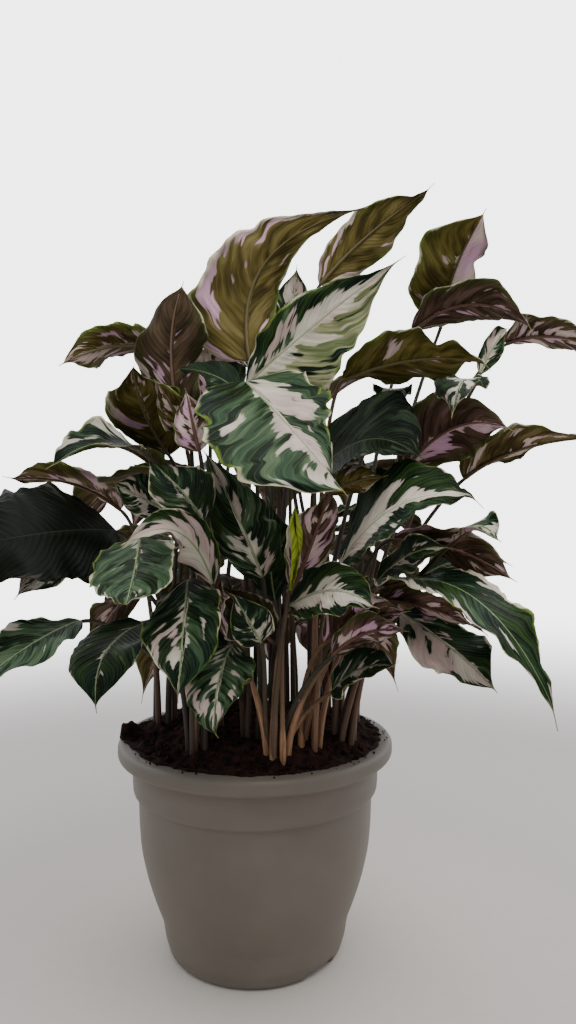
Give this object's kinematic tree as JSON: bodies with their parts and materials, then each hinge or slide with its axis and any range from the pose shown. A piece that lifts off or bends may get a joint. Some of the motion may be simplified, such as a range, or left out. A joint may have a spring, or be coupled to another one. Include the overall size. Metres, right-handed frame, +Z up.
{
  "type": "potted calathea",
  "caption": "Bushy prayer plant with cream-marbled green leaves on slim stalks, rooted in dark peat in a round tapered plastic pot with a rolled rim.",
  "frame": {"origin": "middle of the flat underside of the pot, on the surface it stands on", "axes": "+Z up through the pot, -Y towards the viewer of the picture, +X to that viewer's right"},
  "size_m": [0.6767, 0.551, 0.9147],
  "materials": {
    "pot": "matt taupe grey moulded plastic",
    "soil": "loose damp dark brown peat, modelled as a rough fibrous solid",
    "leaf": "satin living leaf, deep green marbled with cream above, olive to purple-brown below",
    "stalk": "satin living leaf stalk, olive to pinkish brown"
  },
  "bodies": {
    "root": {"pot": "pot", "soil": "soil", "leaf_01": "leaf", "leaf_02": "leaf", "leaf_03": "leaf", "leaf_04": "leaf", "leaf_05": "leaf", "leaf_06": "leaf", "leaf_07": "leaf", "leaf_08": "leaf", "leaf_09": "leaf", "leaf_10": "leaf", "leaf_11": "leaf", "leaf_12": "leaf", "leaf_13": "leaf", "leaf_14": "leaf", "leaf_15": "leaf", "leaf_16": "leaf", "leaf_17": "leaf", "leaf_18": "leaf", "leaf_19": "leaf", "leaf_20": "leaf", "leaf_21": "leaf", "leaf_22": "leaf", "leaf_23": "leaf", "leaf_24": "leaf", "leaf_25": "leaf", "leaf_26": "leaf", "leaf_27": "leaf", "leaf_28": "leaf", "leaf_29": "leaf", "leaf_30": "leaf", "leaf_31": "leaf", "leaf_32": "leaf", "leaf_33": "leaf", "leaf_34": "leaf", "leaf_35": "leaf", "leaf_36": "leaf", "leaf_37": "leaf", "leaf_38": "leaf", "leaf_39": "leaf", "leaf_40": "leaf", "leaf_41": "leaf", "leaf_42": "leaf", "leaf_43": "leaf", "leaf_44": "leaf", "leaf_45": "leaf", "leaf_46": "leaf", "leaf_47": "leaf", "leaf_48": "leaf", "leaf_49": "leaf", "leaf_50": "leaf", "leaf_51": "leaf", "leaf_52": "leaf", "leaf_53": "leaf", "leaf_54": "leaf", "leaf_55": "leaf", "leaf_56": "leaf", "leaf_57": "leaf", "leaf_58": "leaf"}
  },
  "joints": []
}
